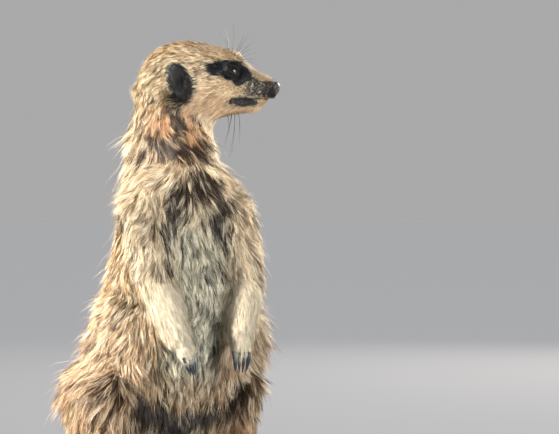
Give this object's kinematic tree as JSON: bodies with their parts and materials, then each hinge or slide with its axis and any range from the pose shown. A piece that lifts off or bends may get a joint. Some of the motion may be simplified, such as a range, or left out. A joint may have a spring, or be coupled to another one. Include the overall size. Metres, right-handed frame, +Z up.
{
  "type": "meerkat",
  "caption": "Life-size model of a meerkat sitting upright on its haunches, hands hanging before the belly, head turned to its left and tail curled on the floor.",
  "frame": {"origin": "middle of the flat under the rump that the animal sits on, at floor level", "axes": "+Z up; the body faces -Y, its left side is +X, and the head looks towards +X with a little -Y"},
  "size_m": [0.1679, 0.1653, 0.245],
  "materials": {
    "coat": "soft fur, grizzled fawn with dark tips, grey on the belly",
    "ear": "short black fur",
    "eye": "wet dark brown, almost black",
    "nose": "moist dark brown skin",
    "claw": "worn dark horn"
  },
  "bodies": {
    "root": {"ear_left": "ear", "ear_right": "ear", "eye_left": "eye", "eye_right": "eye", "foot_left": "coat", "foot_left_claw_1": "claw", "foot_left_claw_2": "claw", "foot_left_claw_3": "claw", "foot_left_claw_4": "claw", "foot_right": "coat", "foot_right_claw_1": "claw", "foot_right_claw_2": "claw", "foot_right_claw_3": "claw", "foot_right_claw_4": "claw", "forearm_left": "coat", "forearm_right": "coat", "hand_left": "coat", "hand_left_claw_1": "claw", "hand_left_claw_2": "claw", "hand_left_claw_3": "claw", "hand_left_claw_4": "claw", "hand_right": "coat", "hand_right_claw_1": "claw", "hand_right_claw_2": "claw", "hand_right_claw_3": "claw", "hand_right_claw_4": "claw", "head": "coat", "neck": "coat", "nose": "nose", "shin_left": "coat", "shin_right": "coat", "tail_base": "coat", "tail_middle": "coat", "tail_tip": "coat", "thigh_left": "coat", "thigh_right": "coat", "trunk": "coat", "upper_arm_left": "coat", "upper_arm_right": "coat"}
  },
  "joints": []
}
